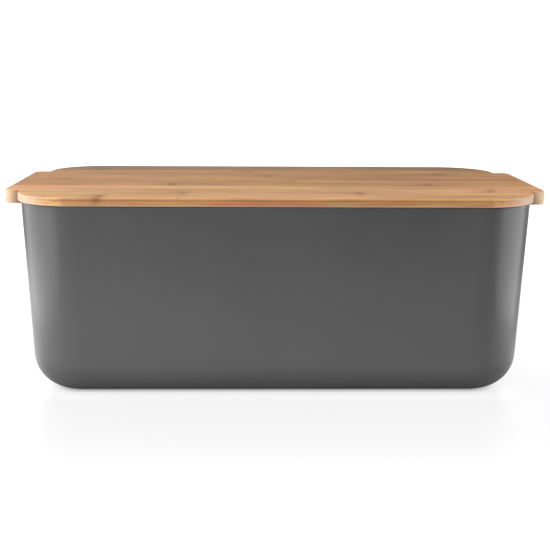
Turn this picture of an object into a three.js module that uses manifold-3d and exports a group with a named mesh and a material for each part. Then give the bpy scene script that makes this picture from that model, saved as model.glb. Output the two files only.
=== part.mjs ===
// Bread bin: a moulded tub with a lift-off lid that is also a cutting board. Millimetres, +Z up.
// The origin is the centre of the base, on the surface that the bin stands on.
// +X runs along the bin's length, and -Y is its front.
import * as THREE from 'three';
import { mergeVertices } from 'three/addons/utils/BufferGeometryUtils.js';
import Module from 'manifold-3d';

const wasm = await Module();
wasm.setup();

// Lid board: its outline without the two end tabs, then the tabs
const BOARD_LENGTH = 340;
const BOARD_WIDTH = 200;
const BOARD_CORNER_RADIUS = 38;
const BOARD_THICKNESS = 9.5;
const TOP_EDGE_RADIUS = 1;
const TAB_REACH = 11;
const TAB_WIDTH = 112;
const TAB_CORNER_RADIUS = 5;
const STRIP_COUNT = 12;

// Rebate under the board's edge, which sits on the tub's rim. The plug that it leaves drops inside.
const REBATE_DEPTH = 3.8;
const PLUG_CLEARANCE = 1.1;

// Tub
const RIM_HEIGHT = 127.3;
const RIM_CORNER_RADIUS = 40;
const BOARD_OVERHANG = 1.4;
const WALL = 3;
const WALL_TAPER = 0.049;
const BASE_FILLET = 24;
const RIM_EDGE_RADIUS = 1;

// How finely the curves are divided
const CORNER_STEPS = 10;
const FILLET_STEPS = 7;
const EDGE_STEPS = 3;

const QUARTER_TURN = Math.PI / 2;
const CORNER_SIGNS = [[1, 1], [-1, 1], [-1, -1], [1, -1]];

// Geometry helpers

// A closed ring of points around a rectangle with round corners, anticlockwise from above.
// An outline is { halfX, halfY, radius }, and inset moves it inwards by the same amount all round.
function outlineRing(outline, inset, z) {
  const radius = outline.radius - inset;
  const centreX = outline.halfX - outline.radius;
  const centreY = outline.halfY - outline.radius;
  return CORNER_SIGNS.flatMap(([signX, signY], corner) =>
    Array.from({ length: CORNER_STEPS + 1 }, (_, step) => {
      const angle = (corner + step / CORNER_STEPS) * QUARTER_TURN;
      return [
        signX * centreX + radius * Math.cos(angle),
        signY * centreY + radius * Math.sin(angle),
        z,
      ];
    }));
}

// The [inset, height] points of a rounded upper edge, from the side up to the flat top
function roundedEdge(radius, topHeight) {
  return Array.from({ length: EDGE_STEPS + 1 }, (_, step) => {
    const angle = QUARTER_TURN * step / EDGE_STEPS;
    return [radius * (1 - Math.cos(angle)), topHeight - radius * (1 - Math.sin(angle))];
  });
}

// The triangles that fill a ring, anticlockwise from above: a fan over each corner's arc, and then
// the octagon between the arcs' ends, with one large triangle over its centre.
function capTriangles() {
  const perCorner = CORNER_STEPS + 1;
  const triangles = [];
  for (let first = 0; first < 4 * perCorner; first += perCorner) {
    for (let step = 1; step < CORNER_STEPS; step += 1) {
      triangles.push([first, first + step, first + step + 1]);
    }
  }
  const arcEnd = (end) => Math.floor(end / 2) * perCorner + (end % 2) * CORNER_STEPS;
  for (const ends of [[0, 1, 2], [0, 2, 7], [2, 5, 7], [2, 3, 5], [3, 4, 5], [5, 6, 7]]) {
    triangles.push(ends.map(arcEnd));
  }
  return triangles;
}

// A closed skin through a list of rings: the first ring is capped facing down, the last facing up.
function loftRings(rings) {
  const perRing = rings[0].length;
  const lastRing = (rings.length - 1) * perRing;
  const index = [];
  for (const [a, b, c] of capTriangles()) {
    index.push(a, c, b);
    index.push(lastRing + a, lastRing + b, lastRing + c);
  }
  for (let ring = 0; ring < rings.length - 1; ring += 1) {
    for (let j = 0; j < perRing; j += 1) {
      const a = ring * perRing + j;
      const b = ring * perRing + (j + 1) % perRing;
      index.push(a, b, a + perRing);
      index.push(b, b + perRing, a + perRing);
    }
  }
  const geometry = new THREE.BufferGeometry();
  geometry.setAttribute('position', new THREE.Float32BufferAttribute(rings.flat(2), 3));
  geometry.setIndex(index);
  return geometry;
}

function toSolid(geometry) {
  const bare = geometry.clone();
  bare.deleteAttribute('normal');
  bare.deleteAttribute('uv');
  const merged = mergeVertices(bare);
  return new wasm.Manifold(new wasm.Mesh({
    numProp: 3,
    vertProperties: new Float32Array(merged.attributes.position.array),
    triVerts: new Uint32Array(merged.index.array),
  }));
}

function toGeometry(solid) {
  const mesh = solid.getMesh();
  const geometry = new THREE.BufferGeometry();
  geometry.setAttribute('position', new THREE.BufferAttribute(mesh.vertProperties, 3));
  geometry.setIndex(new THREE.BufferAttribute(mesh.triVerts, 1));
  geometry.computeVertexNormals();
  return geometry;
}

// Tub: drafted walls with round corners, and a large fillet down to a flat base

// The wall leans outwards by this angle, and the base fillet ends where it meets the leaning wall.
const leanAngle = Math.atan(WALL_TAPER);

const rimOutline = {
  halfX: BOARD_LENGTH / 2 - BOARD_OVERHANG,
  halfY: BOARD_WIDTH / 2 - BOARD_OVERHANG,
  radius: RIM_CORNER_RADIUS,
};

// The [inset, height] points of a skin's fillet, from the flat bottom up to the wall.
// extraInset is 0 for the outer skin and the wall's thickness for the inner one.
function filletProfile(filletRadius, bottomHeight, extraInset) {
  const centreHeight = bottomHeight + filletRadius;
  const wallHeight = centreHeight - filletRadius * Math.sin(leanAngle);
  const wallInset = extraInset + WALL_TAPER * (RIM_HEIGHT - wallHeight);
  const centreInset = wallInset + filletRadius * Math.cos(leanAngle);
  return Array.from({ length: FILLET_STEPS + 1 }, (_, step) => {
    const angle = -QUARTER_TURN + (QUARTER_TURN - leanAngle) * step / FILLET_STEPS;
    return [
      centreInset - filletRadius * Math.cos(angle),
      centreHeight + filletRadius * Math.sin(angle),
    ];
  });
}

// The rim's two rounded edges, from the outer wall over the top to the inner wall
function rimProfile() {
  const outerEdge = roundedEdge(RIM_EDGE_RADIUS, RIM_HEIGHT);
  const innerEdge = outerEdge.map(([inset, height]) => [WALL - inset, height]).reverse();
  return [...outerEdge, ...innerEdge];
}

function makeTub() {
  const profile = [
    ...filletProfile(BASE_FILLET, 0, 0),
    ...rimProfile(),
    ...filletProfile(BASE_FILLET - WALL, WALL, WALL).reverse(),
  ];
  return loftRings(profile.map(([inset, height]) => outlineRing(rimOutline, inset, height)));
}

// Lid: one board glued from strips that run along its length

const boardUnderside = RIM_HEIGHT - REBATE_DEPTH;
const boardTop = boardUnderside + BOARD_THICKNESS;
const boardOutline = {
  halfX: BOARD_LENGTH / 2,
  halfY: BOARD_WIDTH / 2,
  radius: BOARD_CORNER_RADIUS,
};
const tabOutline = {
  halfX: BOARD_LENGTH / 2 + TAB_REACH,
  halfY: TAB_WIDTH / 2,
  radius: TAB_CORNER_RADIUS,
};

// The plate that lies on the rim, with its rounded upper edge
function makePlate() {
  const profile = [[0, RIM_HEIGHT], ...roundedEdge(TOP_EDGE_RADIUS, boardTop)];
  return loftRings(profile.map(([inset, height]) => outlineRing(boardOutline, inset, height)));
}

// The plug that drops inside the rim. It runs up into the plate, so that the two join.
function makePlug() {
  return loftRings([
    outlineRing(rimOutline, WALL + PLUG_CLEARANCE, boardUnderside),
    outlineRing(rimOutline, WALL + PLUG_CLEARANCE, RIM_HEIGHT + 1),
  ]);
}

// Both tabs, as one bar through the plate: full thickness past the plate's ends, and cut away below
// the plate between them.
function makeTabs() {
  const bar = loftRings([
    outlineRing(tabOutline, 0, boardUnderside),
    outlineRing(tabOutline, 0, boardTop),
  ]);
  const gap = new THREE.BoxGeometry(BOARD_LENGTH, BOARD_WIDTH, 2 * REBATE_DEPTH)
    .translate(0, 0, boardUnderside);
  return toSolid(bar).subtract(toSolid(gap));
}

function makeBoard() {
  return toSolid(makePlate()).add(toSolid(makePlug())).add(makeTabs());
}

// Strip 0 is the front one. The boxes that cut out the first and the last strip run past the board.
function makeStrip(board, strip) {
  const width = BOARD_WIDTH / STRIP_COUNT;
  const margin = 1;
  const front = -BOARD_WIDTH / 2 + strip * width - (strip === 0 ? margin : 0);
  const back = -BOARD_WIDTH / 2 + (strip + 1) * width + (strip === STRIP_COUNT - 1 ? margin : 0);
  const length = BOARD_LENGTH + 2 * (TAB_REACH + margin);
  const box = new THREE.BoxGeometry(length, back - front, BOARD_THICKNESS + 2 * margin)
    .translate(0, (front + back) / 2, (boardTop + boardUnderside) / 2);
  return toGeometry(board.intersect(toSolid(box)));
}

// Materials: the strips are light at the front, then darker towards the back
const TUB_PLASTIC = { color: 0x5a5a59, roughness: 0.45, metalness: 0 };
const LIGHT_BAMBOO = { color: 0xcda37b, roughness: 0.5, metalness: 0 };
const DARK_BAMBOO = { color: 0xb98d68, roughness: 0.5, metalness: 0 };
const LIGHT_STRIP_COUNT = 4;

function namedMesh(name, geometry, finish) {
  const mesh = new THREE.Mesh(geometry, new THREE.MeshStandardMaterial(finish));
  mesh.name = name;
  return mesh;
}

const lid = new THREE.Group();
const board = makeBoard();
for (let strip = 0; strip < STRIP_COUNT; strip += 1) {
  const name = `lid_strip_${String(strip + 1).padStart(2, '0')}`;
  const bamboo = strip < LIGHT_STRIP_COUNT ? LIGHT_BAMBOO : DARK_BAMBOO;
  lid.add(namedMesh(name, makeStrip(board, strip), bamboo));
}

const breadBin = new THREE.Group();
breadBin.add(namedMesh('tub', makeTub(), TUB_PLASTIC));
breadBin.add(lid);

export default breadBin;
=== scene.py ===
"""Looks of the bread bin: a satin moulded tub and a lift-off lid glued from bamboo strips.

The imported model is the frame. Lengths are in metres: +X along the bin, -Y its front, +Z up.
The tub and each lid strip are rebuilt with finer curves and edges inside their CAD solids.
"""

import math

import bmesh
import bpy
from mathutils import Matrix, Vector


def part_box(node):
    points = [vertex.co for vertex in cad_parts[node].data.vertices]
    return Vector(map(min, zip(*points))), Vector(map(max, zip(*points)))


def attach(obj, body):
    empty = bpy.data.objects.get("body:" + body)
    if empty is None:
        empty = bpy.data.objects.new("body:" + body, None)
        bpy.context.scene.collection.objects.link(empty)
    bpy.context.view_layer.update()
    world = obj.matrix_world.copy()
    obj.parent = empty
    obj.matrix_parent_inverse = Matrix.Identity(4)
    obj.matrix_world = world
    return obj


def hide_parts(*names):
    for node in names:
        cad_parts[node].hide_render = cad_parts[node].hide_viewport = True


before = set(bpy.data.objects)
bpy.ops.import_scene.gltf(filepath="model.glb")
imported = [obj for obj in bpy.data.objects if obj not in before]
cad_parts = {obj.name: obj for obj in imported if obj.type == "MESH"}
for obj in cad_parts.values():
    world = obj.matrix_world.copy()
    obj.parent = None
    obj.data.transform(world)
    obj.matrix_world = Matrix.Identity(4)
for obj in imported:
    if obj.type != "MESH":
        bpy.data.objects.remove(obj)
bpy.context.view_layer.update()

# Sizes that the frame's boxes don't give
WALL = 0.003
WALL_TAPER = 0.049
BASE_FILLET = 0.024
RIM_EDGE_RADIUS = 0.001
RIM_CORNER_RADIUS = 0.040
BOARD_OVERHANG = 0.0014
BOARD_CORNER_RADIUS = 0.038
TOP_EDGE_RADIUS = 0.0010
LOWER_EDGE_RADIUS = 0.0010
PLUG_CLEARANCE = 0.0011
PLUG_CHAMFER = 0.0008
TAB_WIDTH = 0.112
TAB_CORNER_RADIUS = 0.005
TAB_LOWER_EDGE_RADIUS = 0.0006
SKIN_DEPTH = 0.0017

# How far the plug reaches into the plate, and how much larger than the board the strips' cutters are
PLUG_OVERLAP = 0.001
CUT_MARGIN = 0.001

# How finely the curves are divided
CORNER_STEPS = 28
FILLET_STEPS = 18
EDGE_STEPS = 5
LOWER_EDGE_STEPS = 3
# A narrow strip beside each curve keeps the shading of the flat beyond it flat.
FLAT_GUARD = 0.002
# Edges that bend by more than this stay sharp, in degrees.
SHARP_ANGLE = 40

QUARTER_TURN = math.pi / 2
LEAN = math.atan(WALL_TAPER)
CORNER_SIGNS = ((1, 1), (-1, 1), (-1, -1), (1, -1))

STRIPS = sorted(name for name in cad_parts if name.startswith("lid_strip_"))
TUB_LOW, TUB_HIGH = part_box("tub")
RIM = TUB_HIGH.z
BOARD_HALF_LENGTH = TUB_HIGH.x + BOARD_OVERHANG
LID_LOW = Vector(map(min, *(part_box(name)[0] for name in STRIPS)))
LID_HIGH = Vector(map(max, *(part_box(name)[1] for name in STRIPS)))


# ---------------------------------------------------------------- meshes

def outline_ring(half_x, half_y, radius, inset, z):
    """Points around a rectangle with round corners, anticlockwise from above, moved inwards by inset."""
    corner_x, corner_y = half_x - radius, half_y - radius
    arc_radius = radius - inset
    guard = min(FLAT_GUARD, corner_x / 4, corner_y / 4)
    ring = []
    for corner, (sign_x, sign_y) in enumerate(CORNER_SIGNS):
        angles = [(corner + step / CORNER_STEPS) * QUARTER_TURN for step in range(CORNER_STEPS + 1)]
        arc = [
            Vector((
                sign_x * corner_x + arc_radius * math.cos(angle),
                sign_y * corner_y + arc_radius * math.sin(angle),
                z,
            ))
            for angle in angles
        ]
        into = Vector((math.sin(angles[0]), -math.cos(angles[0]), 0)) * guard
        out_of = Vector((-math.sin(angles[-1]), math.cos(angles[-1]), 0)) * guard
        ring += [arc[0] + into, *arc, arc[-1] + out_of]
    return ring


def loft(name, rings):
    """A closed mesh object through rings of points, capped facing down at the first and up at the last."""
    mesh = bmesh.new()
    rows = [[mesh.verts.new(point) for point in ring] for ring in rings]
    count = len(rows[0])
    for lower, upper in zip(rows, rows[1:]):
        for j in range(count):
            k = (j + 1) % count
            mesh.faces.new((lower[j], lower[k], upper[k], upper[j]))
    mesh.faces.new(list(reversed(rows[0])))
    mesh.faces.new(rows[-1])
    return object_from(name, mesh)


def object_from(name, mesh):
    """An object in the scene, made from a bmesh, which is freed."""
    data = bpy.data.meshes.new(name)
    mesh.to_mesh(data)
    mesh.free()
    obj = bpy.data.objects.new(name, data)
    bpy.context.scene.collection.objects.link(obj)
    return obj


def rounded_edge(radius, top, steps=EDGE_STEPS):
    """The (inset, height) points of a rounded upper edge, from the side up to the flat top."""
    return [
        (radius * (1 - math.cos(angle)), top - radius * (1 - math.sin(angle)))
        for angle in (QUARTER_TURN * step / steps for step in range(steps + 1))
    ]


def boolean(target, other, operation):
    """Joins other to target, cuts it away or keeps only what they share, and removes other."""
    modifier = target.modifiers.new("cut", "BOOLEAN")
    modifier.operation = operation
    modifier.solver = "EXACT"
    modifier.object = other
    bpy.context.view_layer.update()
    shape = bpy.data.meshes.new_from_object(
        target.evaluated_get(bpy.context.evaluated_depsgraph_get()))
    target.modifiers.clear()
    target.data = shape
    bpy.data.objects.remove(other)
    return target


def clean(obj):
    """Merges doubled points, and shades all but the sharp edges smoothly."""
    mesh = bmesh.new()
    mesh.from_mesh(obj.data)
    bmesh.ops.remove_doubles(mesh, verts=mesh.verts, dist=1e-6)
    bmesh.ops.recalc_face_normals(mesh, faces=mesh.faces)
    mesh.to_mesh(obj.data)
    mesh.free()
    obj.data.shade_smooth()
    obj.data.set_sharp_from_angle(angle=math.radians(SHARP_ANGLE))


# ---------------------------------------------------------------- tub

def fillet_profile(fillet_radius, bottom, extra_inset):
    """The (inset, height) points of a skin's fillet, from the flat bottom up to the leaning wall."""
    centre_height = bottom + fillet_radius
    wall_height = centre_height - fillet_radius * math.sin(LEAN)
    centre_inset = extra_inset + WALL_TAPER * (RIM - wall_height) + fillet_radius * math.cos(LEAN)
    points = [(centre_inset + FLAT_GUARD, bottom)]
    for step in range(FILLET_STEPS + 1):
        angle = -QUARTER_TURN + (QUARTER_TURN - LEAN) * step / FILLET_STEPS
        points.append((
            centre_inset - fillet_radius * math.cos(angle),
            centre_height + fillet_radius * math.sin(angle),
        ))
    points.append((extra_inset + WALL_TAPER * (RIM - wall_height - FLAT_GUARD), wall_height + FLAT_GUARD))
    return points


def make_tub():
    """The tub as one closed skin: up the outside, over the rim and down the inside to the floor."""
    outer_edge = rounded_edge(RIM_EDGE_RADIUS, RIM)
    guard = (WALL_TAPER * FLAT_GUARD, RIM - RIM_EDGE_RADIUS - FLAT_GUARD)
    outer = [*fillet_profile(BASE_FILLET, TUB_LOW.z, 0), guard, *outer_edge]
    inner_rim = [(WALL - inset, height) for inset, height in reversed([guard, *outer_edge])]
    # Below the rim's edge, the inner wall leans inwards like the outer one.
    inner_rim[-1] = (WALL + guard[0], guard[1])
    inner = list(reversed(fillet_profile(BASE_FILLET - WALL, TUB_LOW.z + WALL, WALL)))
    rings = [
        outline_ring(TUB_HIGH.x, TUB_HIGH.y, RIM_CORNER_RADIUS, inset, height)
        for inset, height in [*outer, *inner_rim, *inner]
    ]
    tub = loft("moulded_tub", rings)
    clean(tub)
    return tub


# ---------------------------------------------------------------- lid

def softened(lower_radius, low, upper_radius, high):
    """The (inset, height) points of an upright side whose lower and upper edges are rounded."""
    mirrored = reversed(rounded_edge(lower_radius, high, LOWER_EDGE_STEPS))
    lower = [(inset, low + high - height) for inset, height in mirrored]
    return [*lower, *rounded_edge(upper_radius, high), (upper_radius + FLAT_GUARD / 2, high)]


def make_board():
    """The whole board before it is divided into strips: plate, plug and the two end tabs."""
    plate = loft("board", [
        outline_ring(BOARD_HALF_LENGTH, LID_HIGH.y, BOARD_CORNER_RADIUS, inset, height)
        for inset, height in softened(LOWER_EDGE_RADIUS, RIM, TOP_EDGE_RADIUS, LID_HIGH.z)
    ])
    plug_inset = WALL + PLUG_CLEARANCE
    plug = loft("plug", [
        outline_ring(TUB_HIGH.x, TUB_HIGH.y, RIM_CORNER_RADIUS, inset, height)
        for inset, height in (
            (plug_inset + PLUG_CHAMFER, LID_LOW.z),
            (plug_inset, LID_LOW.z + PLUG_CHAMFER),
            (plug_inset, RIM + PLUG_OVERLAP),
        )
    ])
    for other in (plug, make_tabs()):
        boolean(plate, other, "UNION")
    return plate


def make_tabs():
    """Both tabs, as one bar that is cut away below the plate between them."""
    bar = loft("tabs", [
        outline_ring(LID_HIGH.x, TAB_WIDTH / 2, TAB_CORNER_RADIUS, inset, height)
        for inset, height in softened(TAB_LOWER_EDGE_RADIUS, LID_LOW.z, TOP_EDGE_RADIUS, LID_HIGH.z)
    ])
    below = 2 * (RIM - LID_LOW.z)
    gap = block("gap", (0, 0, LID_LOW.z), (2 * BOARD_HALF_LENGTH, 2 * LID_HIGH.y, below))
    return boolean(bar, gap, "DIFFERENCE")


def block(name, centre, size):
    """A box of a size about a centre."""
    mesh = bmesh.new()
    bmesh.ops.create_cube(mesh, size=1)
    bmesh.ops.transform(
        mesh, verts=mesh.verts,
        matrix=Matrix.Translation(centre) @ Matrix.Diagonal((*size, 1)))
    return object_from(name, mesh)


def make_strip(board, name):
    """The part of the board inside a CAD strip's box, along Y."""
    low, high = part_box(name)
    strip = board.copy()
    strip.data = board.data.copy()
    strip.name = strip.data.name = name.replace("lid_strip", "bamboo_strip")
    bpy.context.scene.collection.objects.link(strip)
    front = low.y - (CUT_MARGIN if name == STRIPS[0] else 0)
    back = high.y + (CUT_MARGIN if name == STRIPS[-1] else 0)
    cutter = block(
        "cutter",
        (0, (front + back) / 2, (LID_HIGH.z + LID_LOW.z) / 2),
        (LID_HIGH.x * 2 + CUT_MARGIN, back - front, LID_HIGH.z - LID_LOW.z + CUT_MARGIN))
    boolean(strip, cutter, "INTERSECT")
    clean(strip)
    return strip


# ---------------------------------------------------------------- materials

def srgb(red, green, blue):
    """A linear colour from sRGB values of 0 to 255."""
    def linear(value):
        value /= 255
        return value / 12.92 if value <= 0.04045 else ((value + 0.055) / 1.055) ** 2.4
    return (linear(red), linear(green), linear(blue), 1)


class Nodes:
    """Short calls that add nodes to a material or a world. An input is a value or another node's output."""

    def __init__(self, owner):
        self.owner = owner
        owner.use_nodes = True
        self.tree = owner.node_tree

    def add(self, kind, inputs=(), **settings):
        node = self.tree.nodes.new(kind)
        for setting, value in settings.items():
            setattr(node, setting, value)
        for socket, value in dict(inputs).items():
            self.feed(node.inputs[socket], value)
        return node

    def feed(self, socket, value):
        if isinstance(value, bpy.types.NodeSocket):
            self.tree.links.new(value, socket)
        else:
            socket.default_value = value

    def math(self, operation, *values):
        return self.add("ShaderNodeMath", dict(enumerate(values)), operation=operation).outputs[0]

    def vector(self, operation, *values):
        node = self.add("ShaderNodeVectorMath", dict(enumerate(values)), operation=operation)
        return node.outputs["Value" if operation in ("DOT_PRODUCT", "LENGTH") else "Vector"]

    def noise(self, vector, detail, scale=1.0):
        """Soft noise, with most of its values between 0.3 and 0.7."""
        inputs = {"Vector": vector, "Scale": scale, "Detail": detail, "Roughness": 0.55}
        return self.add("ShaderNodeTexNoise", inputs).outputs["Fac"]

    def step(self, value, low, high, to_low=0.0, to_high=1.0):
        """A smooth step of value from low to high."""
        inputs = {"Value": value, "From Min": low, "From Max": high, "To Min": to_low, "To Max": to_high}
        return self.add("ShaderNodeMapRange", inputs, interpolation_type="SMOOTHSTEP").outputs[0]

    def mix(self, factor, a, b, blend="MIX"):
        node = self.add("ShaderNodeMix", data_type="RGBA", blend_type=blend)
        for socket, value in ((node.inputs[0], factor), (node.inputs[6], a), (node.inputs[7], b)):
            self.feed(socket, value)
        return node.outputs[2]

    def blend(self, factor, a, b):
        """A number between a, at factor 0, and b, at factor 1."""
        return self.add("ShaderNodeMix", {0: factor, 2: a, 3: b}, data_type="FLOAT").outputs[0]

    def place(self):
        """The point on the object, in metres, along the frame's axes."""
        return self.add("ShaderNodeTexCoord").outputs["Object"]

    def axes(self, vector):
        """The X, Y and Z of a vector."""
        return self.add("ShaderNodeSeparateXYZ", {0: vector}).outputs

    def in_view(self):
        """1 where the camera sees this directly, 0 where it lights something or shows in a reflection."""
        return self.add("ShaderNodeLightPath").outputs["Is Camera Ray"]

    def bump(self, height, distance, strength):
        inputs = {"Height": height, "Distance": distance, "Strength": strength}
        return self.add("ShaderNodeBump", inputs).outputs[0]

    def surface(self, **inputs):
        """The finished material. Inputs are named as the shader's, with _ for a space."""
        shader = self.tree.nodes["Principled BSDF"]
        for name, value in inputs.items():
            self.feed(shader.inputs[name.replace("_", " ")], value)
        return self.owner


PLASTIC_GREY = srgb(55, 55, 55)
PALER_PLASTIC = srgb(58, 58, 58)
GRAIN_GREY = srgb(74, 74, 73)


def tub_plastic():
    """Satin dark grey plastic with a fine spark-eroded grain and faint handling marks."""
    n = Nodes(bpy.data.materials.new("tub_plastic"))
    place = n.place()
    grain = n.noise(place, detail=2, scale=2600)
    clouds = n.noise(place, detail=4, scale=14)
    colour = n.mix(n.step(clouds, 0.3, 0.7), PLASTIC_GREY, PALER_PLASTIC)
    colour = n.mix(n.step(grain, 0.62, 0.8, 0, 0.25), colour, GRAIN_GREY)
    roughness = n.math("ADD", n.step(clouds, 0.3, 0.75, 0.27, 0.32), n.math("MULTIPLY", grain, 0.03))
    return n.surface(
        Base_Color=colour,
        Roughness=roughness,
        Normal=n.bump(grain, distance=0.00003, strength=0.25),
    )


# The strips from the front one up to this one are light, and the others are dark.
LIGHT_STRIP_COUNT = 4

# Pale, deep and dark wood, in the light strips in front and in the darker ones behind
LIGHT_WOOD = (srgb(184, 140, 87), srgb(155, 107, 60), srgb(96, 52, 18))
DARK_WOOD = (srgb(166, 119, 60), srgb(136, 89, 39), srgb(80, 42, 14))

# Tints that vary along the strips
PINKER = (1.05, 0.965, 1.06, 1)
YELLOWER = (0.96, 1.03, 0.90, 1)

KNUCKLE_BROWN = srgb(108, 70, 0)
EDGE_RED = srgb(168, 85, 42)
EDGE_YELLOW = srgb(178, 138, 61)
# A painted highlight along the plate's lower edge, where it would catch the light
LOWER_EDGE_HIGHLIGHT = srgb(178, 158, 134)
# Paler end grain, with a painted highlight of the side light, on the cut ends and the tabs' sides
PALE_END_AND_HIGHLIGHT = srgb(168, 154, 134)
# Painted shade for the inside corners beside the tabs
TAB_CORNER_SHADE_BROWN = srgb(112, 72, 36)

# How far the pattern shifts from one strip to the next
PATTERN_SHIFT = Vector((0.37, 0.11, 0.23))
# How far the skin layer waves up and down, and the knuckles along X
SKIN_WAVES = 0.0012
KNUCKLE_WAVES = 0.022

# How light each strip is, from the front one to the back one
STRIP_TONES = (1.00, 0.97, 0.99, 1.06, 0.92, 1.00, 0.96, 1.02, 0.94, 0.95, 0.71, 0.65)

# Where a culm knuckle crosses a strip, in metres along X. Strip 1 is the front one.
KNUCKLES = {
    1: (-0.116,), 2: (-0.061, 0.053), 3: (0.141,), 4: (), 5: (-0.073, 0.106), 6: (0.010,),
    7: (-0.150,), 8: (-0.005,), 9: (0.128,), 10: (-0.020,), 11: (-0.132,), 12: (0.084,),
}


def bamboo(number, centre_y):
    """Sanded bamboo: soft streaks along X, fibre ends, knuckles, layers on its edge and glue lines."""
    n = Nodes(bpy.data.materials.new(f"bamboo_{number:02d}"))
    place = n.place()
    x, y, z = n.axes(place)
    grown = n.vector("ADD", place, PATTERN_SHIFT * number)

    def noise(along, across, detail):
        """Noise whose grains are 1 / along metres long and 1 / across metres wide."""
        return n.noise(n.vector("MULTIPLY", grown, (along, across, across)), detail)

    clouds = noise(11, 45, 2)
    streaks = noise(6, 240, 3)
    fibres = noise(18, 1300, 4)
    pores = noise(90, 2600, 1)

    pale, deep, dark = LIGHT_WOOD if number <= LIGHT_STRIP_COUNT else DARK_WOOD
    colour = n.mix(n.step(clouds, 0.3, 0.7), pale, deep)
    hue = n.mix(n.step(noise(7, 70, 2), 0.40, 0.60), PINKER, YELLOWER)
    colour = n.mix(1.0, colour, hue, "MULTIPLY")
    colour = n.mix(n.step(streaks, 0.42, 0.72, 0, 0.75), colour, deep)
    colour = n.mix(n.step(fibres, 0.45, 0.72, 0, 0.42), colour, dark)

    on_plate = n.step(n.math("ABSOLUTE", x), BOARD_HALF_LENGTH + 0.001, BOARD_HALF_LENGTH - 0.006)
    colour = edge_layers(n, colour, dark, z, clouds, noise(22, 320, 2), on_plate)
    for centre_x in KNUCKLES[number]:
        colour = n.mix(knuckle(n, x, centre_x, clouds, streaks), colour, KNUCKLE_BROWN)

    facing = n.axes(n.add("ShaderNodeNewGeometry").outputs["Normal"])
    cut_end = n.step(n.math("ABSOLUTE", facing[0]), 0.2, 0.85)
    upright = n.step(facing[2], 0.6, 0.3)
    # Paler end grain and painted highlights of the side light on the cut ends and tabs' sides, and a
    # painted highlight along the lower edge
    colour = pale_ends_and_painted_highlights(n, colour, z, cut_end, upright, on_plate)
    # Painted shade darkens the inside corners beside the tabs.
    colour = n.mix(n.math("MULTIPLY", painted_tab_corner_shade(n, place), upright), colour, TAB_CORNER_SHADE_BROWN)
    # Pores show more on the cut ends.
    pore_marks = n.step(pores, n.step(cut_end, 0, 1, 0.66, 0.50), n.step(cut_end, 0, 1, 0.76, 0.64))
    colour = n.mix(n.math("MULTIPLY", pore_marks, 0.35), colour, dark)

    width = (LID_HIGH.y - LID_LOW.y) / len(STRIPS)
    from_seam = n.math("SUBTRACT", width / 2, n.math("ABSOLUTE", n.math("SUBTRACT", y, centre_y)))
    colour = n.mix(n.step(from_seam, 0.0004, 0.0001, 0, 0.3), colour, dark)
    tone = STRIP_TONES[number - 1]
    colour = n.mix(1.0, colour, (tone, tone, tone, 1), "MULTIPLY")

    roughness = n.math("ADD", n.step(fibres, 0.3, 0.8, 0.46, 0.56), n.math("MULTIPLY", pore_marks, 0.1))
    relief = n.math("SUBTRACT", fibres, pore_marks)
    return n.surface(
        Base_Color=colour,
        Roughness=roughness,
        Specular_IOR_Level=0.44,
        Normal=n.bump(relief, distance=0.00006, strength=0.3),
    )


def edge_layers(n, colour, dark, z, clouds, bands, on_plate):
    """Adds the plate's edge: the culm's dark skin, thin and wavy, over redder and yellower wood."""
    waves = n.math("MULTIPLY", n.math("SUBTRACT", clouds, 0.5), SKIN_WAVES)
    depth = n.math("ADD", n.math("SUBTRACT", LID_HIGH.z - SKIN_DEPTH, z), waves)
    skin = n.step(n.math("ABSOLUTE", depth), 0.0007, 0.0002, 0, 0.42)
    colour = n.mix(n.math("MULTIPLY", skin, on_plate), colour, dark)
    below = n.math("MULTIPLY", n.step(depth, 0.0005, 0.0022), on_plate)
    redder = n.math("MULTIPLY", below, n.step(bands, 0.44, 0.62, 0.1, 0.85))
    yellower = n.math("MULTIPLY", below, n.step(bands, 0.46, 0.32, 0, 0.8))
    return n.mix(yellower, n.mix(redder, colour, EDGE_RED), EDGE_YELLOW)


def pale_ends_and_painted_highlights(n, colour, z, cut_end, upright, on_plate):
    """Adds pale colour: paler end grain with a painted highlight of the side light on the strips' cut ends,
    a painted highlight on the tabs' sides, and a painted highlight along the plate's lower edge.
    """
    # Painted highlight of the side light on the tabs' sides, and paler end grain with that highlight on the
    # cut ends
    tab_side_highlight = n.math("MULTIPLY", n.step(on_plate, 0.5, 0, 0, 0.6), upright)
    end = n.math("MAXIMUM", n.math("MULTIPLY", cut_end, 0.72), tab_side_highlight)
    # A painted highlight along the plate's lower edge
    lower_edge_highlight = n.math("MULTIPLY", n.step(z, RIM + 0.0024, RIM + 0.0004, 0, 0.55), on_plate)
    return n.mix(lower_edge_highlight, n.mix(end, colour, PALE_END_AND_HIGHLIGHT), LOWER_EDGE_HIGHLIGHT)


def knuckle(n, x, centre_x, clouds, streaks):
    """How strongly a knuckle darkens the strip: a ragged band across it, softer towards one side."""
    ragged = n.math("MULTIPLY", n.math("SUBTRACT", clouds, 0.5), KNUCKLE_WAVES)
    away = n.math("ADD", n.math("SUBTRACT", x, centre_x), ragged)
    ring = n.step(n.math("ABSOLUTE", away), 0.0045, 0.0005)
    tail = n.math("MULTIPLY", n.step(away, -0.020, -0.001), n.step(away, 0.009, 0))
    band = n.math("ADD", n.math("MULTIPLY", ring, 0.42), n.math("MULTIPLY", tail, 0.30))
    return n.math("MULTIPLY", band, n.step(streaks, 0.3, 0.62, 0.35, 1.3))


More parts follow.
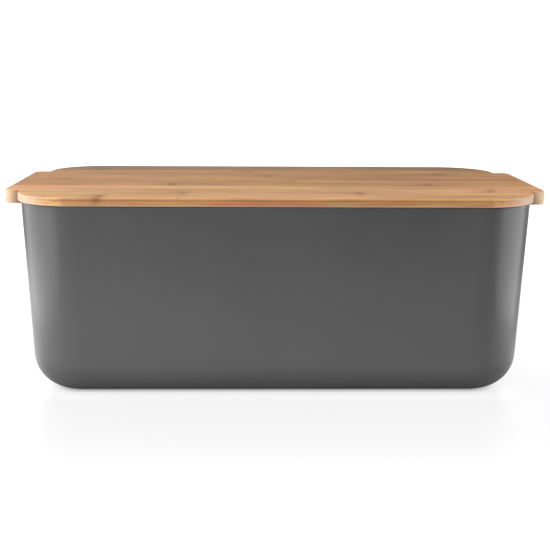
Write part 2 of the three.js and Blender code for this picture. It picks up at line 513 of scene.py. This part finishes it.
def painted_tab_corner_shade(n, place):
    """How strongly painted shade darkens the inside corners beside the tabs."""
    corner = Vector((BOARD_HALF_LENGTH, TAB_WIDTH / 2, 0))
    away = n.vector("MULTIPLY", n.vector("SUBTRACT", n.vector("ABSOLUTE", place), corner), (1, 1, 0))
    return n.step(n.vector("LENGTH", away), 0.0070, 0.0010, 0, 0.90)


# ---------------------------------------------------------------- object

tub = make_tub()
tub.data.materials.append(tub_plastic())
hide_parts("tub")
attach(tub, "bin")

# The softboxes light this collection alone, so they leave no shadows on the floor.
bin_pieces = bpy.data.collections.new("bin_pieces")
bin_pieces.objects.link(tub)

board = make_board()
for number, node in enumerate(STRIPS, 1):
    low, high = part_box(node)
    strip = make_strip(board, node)
    strip.data.materials.append(bamboo(number, (low.y + high.y) / 2))
    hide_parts(node)
    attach(strip, "lid")
    bin_pieces.objects.link(strip)
bpy.data.objects.remove(board)


# ---------------------------------------------------------------- stage

WHITE = (1, 1, 1, 1)

# World light: directions and sizes in degrees, brightness where 1 is white
KEY_AZIMUTH = -25
KEY_ELEVATION = 50
KEY_BRIGHTNESS = 2.55
WALL_AZIMUTH = 212
WALL_ELEVATION = 10
WALL_BRIGHTNESS = 0.35
HORIZON_BRIGHTNESS = 0.6
DOME_BRIGHTNESS = 0.40
SEEN_WHITE = 1.05

# Softboxes beside the bin's ends: how high they are, and how far above the table
SIDE_HEIGHT = 0.25
SIDE_LIFT = 0.005

# Floor: its whiteness and its glow, as they light the bin and as the camera sees them
FLOOR_WHITE = 0.36
FLOOR_WHITE_SEEN = 0.25
FLOOR_GLOW = 0.61
GLOW_IN_MIDDLE = 1.15
GLOW_PER_METRE = -1.9
GLOW_BESIDE = 0.62
CONTACT_GLOW_SEEN = 0.18
FLOOR_GLOW_SEEN = 0.77
# The floor lies this far below the base, so that their faces don't coincide.
FLOOR_DROP = 0.0001

# Camera: where it stands from the bin's centre, how far it looks down, and its slight turns
CAMERA_DISTANCE = 0.7864
CAMERA_SIDE = 0.0007
CAMERA_HEIGHT = 0.2229
LOOK_DOWN = 0.1997
ORBIT = 0.0244
ROLL = 0.0066
FOCAL_LENGTH = 71.96
SENSOR_WIDTH = 36.0


def make_floor():
    """A plain white table, faintly glossy, with a glow of its own that depends on where the bin stands;
    except to the camera, its white is painted darker far from the bin as painted shade.
    """
    mesh = bmesh.new()
    bmesh.ops.create_grid(mesh, x_segments=1, y_segments=1, size=6)
    floor = object_from("floor", mesh)
    floor.location.z = TUB_LOW.z - FLOOR_DROP
    n = Nodes(bpy.data.materials.new("floor_white"))
    x, y, _ = n.axes(n.place())
    distance = base_distance(n)
    near = n.step(distance, 0.50, 0.20)
    # Painted shade: as the bin sees it and is lit by it, the table's white darkens beyond 0.2 m from the
    # bin.
    white = n.math("MULTIPLY", n.math("MAXIMUM", near, 0.25), FLOOR_WHITE)
    seen = n.in_view()
    floor.data.materials.append(n.surface(
        Base_Color=n.blend(seen, white, FLOOR_WHITE_SEEN),
        Emission_Color=WHITE,
        Emission_Strength=n.blend(seen, glow_on_bin(n, x, y, distance, near), glow_seen(n, y, distance)),
        Roughness=0.2,
        IOR=1.5,
    ))


def base_distance(n):
    """How far a place on the floor lies outside the tub's flat base, which ends where its fillet begins."""
    fillet_start = fillet_profile(BASE_FILLET, TUB_LOW.z, 0)[1]
    base_radius = RIM_CORNER_RADIUS - fillet_start[0]
    corner = Vector((TUB_HIGH.x - RIM_CORNER_RADIUS, TUB_HIGH.y - RIM_CORNER_RADIUS, 1))
    outside = n.vector("SUBTRACT", n.vector("ABSOLUTE", n.place()), corner)
    return n.math("SUBTRACT", n.vector("LENGTH", n.vector("MAXIMUM", outside, (0, 0, 0))), base_radius)


def glow_on_bin(n, x, y, distance, near):
    """The glow that lights the bin: none below it or far off, more on the left, a pool beside each end."""
    around = n.step(distance, 0, 0.052, 0, FLOOR_GLOW)
    tilt = n.math("MULTIPLY_ADD", x, GLOW_PER_METRE, GLOW_IN_MIDDLE)
    beside = n.math("MULTIPLY", n.step(y, -0.18, -0.11, 0, GLOW_BESIDE), n.step(y, 0.03, -0.03))
    pools = n.math("MULTIPLY", n.step(n.math("ABSOLUTE", x), 0.170, 0.235), beside)
    return n.math("MULTIPLY", n.math("ADD", n.math("MULTIPLY", around, tilt), pools), near)


def glow_seen(n, y, distance):
    """The glow that the camera sees: a short contact shadow, and a faint wider one in front of the bin."""
    contact = n.step(distance, 0, 0.013, CONTACT_GLOW_SEEN, FLOOR_GLOW_SEEN)
    faint = n.math("MULTIPLY", n.step(distance, 0.012, 0.040, 0.02, 0.10), n.step(distance, 0.20, 0.08))
    shadow = n.math("MULTIPLY", faint, n.step(y, 0, TUB_LOW.y))
    return n.math("ADD", n.math("SUBTRACT", contact, shadow), n.step(distance, 0.12, 0.26, 0, 0.16))


def toward(azimuth, elevation):
    """The direction to a place around the bin, in degrees. Azimuth 0 is in front, 90 past the right tab."""
    azimuth, elevation = math.radians(azimuth), math.radians(elevation)
    return Vector((
        math.cos(elevation) * math.sin(azimuth),
        -math.cos(elevation) * math.cos(azimuth),
        math.sin(elevation),
    ))


def make_world():
    """A soft white studio: a big light above the front, a dim wall behind on the left, a white horizon."""
    world = bpy.data.worlds.new("studio")
    bpy.context.scene.world = world
    n = Nodes(world)
    direction = n.add("ShaderNodeTexCoord").outputs["Generated"]

    def soft_zone(azimuth, elevation, radius, softness, brightness):
        facing = n.vector("DOT_PRODUCT", direction, toward(azimuth, elevation))
        outer, inner = (math.cos(math.radians(radius + sign * softness)) for sign in (1, -1))
        return n.step(facing, outer, inner, 0, brightness)

    up = n.axes(direction)[2]
    parts = (
        soft_zone(KEY_AZIMUTH, KEY_ELEVATION, radius=38, softness=12, brightness=KEY_BRIGHTNESS),
        soft_zone(WALL_AZIMUTH, WALL_ELEVATION, radius=26, softness=20, brightness=WALL_BRIGHTNESS),
        n.step(up, 0.25, 0.08, 0, HORIZON_BRIGHTNESS),
    )
    brightness = DOME_BRIGHTNESS
    for part in parts:
        brightness = n.math("ADD", brightness, part)
    background = n.tree.nodes["Background"]
    n.feed(background.inputs["Strength"], n.blend(n.in_view(), brightness, SEEN_WHITE))
    n.feed(background.inputs["Color"], WHITE)


def make_softbox(name, place, aim, width, height, brightness):
    """A rectangular softbox at a place, turned to its aim. It lights the bin's pieces alone."""
    data = bpy.data.lights.new(name, "AREA")
    data.shape = "RECTANGLE"
    data.size, data.size_y = width, height
    data.energy = brightness * math.pi * width * height
    light = bpy.data.objects.new(name, data)
    light.visible_camera = False
    bpy.context.scene.collection.objects.link(light)
    turn = (Vector(aim) - Vector(place)).to_track_quat("-Z", "Y").to_matrix().to_4x4()
    light.matrix_world = Matrix.Translation(place) @ turn
    light.light_linking.receiver_collection = bin_pieces


def make_side_light(name, x, front, back, brightness):
    """An upright softbox beside one end of the bin, from front to back along Y."""
    place = Vector((x, (front + back) / 2, SIDE_HEIGHT / 2 + SIDE_LIFT))
    make_softbox(name, place, place * Vector((0, 1, 1)), back - front, SIDE_HEIGHT, brightness)


def make_camera():
    """The camera, in front of the bin, a little above it and looking slightly down."""
    data = bpy.data.cameras.new("camera")
    data.lens = FOCAL_LENGTH
    data.sensor_width = SENSOR_WIDTH
    camera = bpy.data.objects.new("camera", data)
    bpy.context.scene.collection.objects.link(camera)
    orbit = Matrix.Rotation(-ORBIT, 4, "Z")
    place = Matrix.Translation((CAMERA_SIDE, -CAMERA_DISTANCE, CAMERA_HEIGHT))
    tilt = Matrix.Rotation(QUARTER_TURN - LOOK_DOWN, 4, "X")
    camera.matrix_world = orbit @ place @ tilt @ Matrix.Rotation(ROLL, 4, "Z")
    bpy.context.scene.camera = camera


make_floor()
make_world()
make_softbox("window", (-0.50, -0.35, 0.60), aim=(-0.05, 0, 0.10), width=0.55, height=0.55, brightness=3.0)
make_side_light("softbox_left", x=-0.30, front=-0.25, back=0.035, brightness=2.0)
make_side_light("softbox_right", x=0.30, front=-0.20, back=0.005, brightness=2.3)
make_camera()
bpy.context.scene.view_settings.view_transform = "Standard"
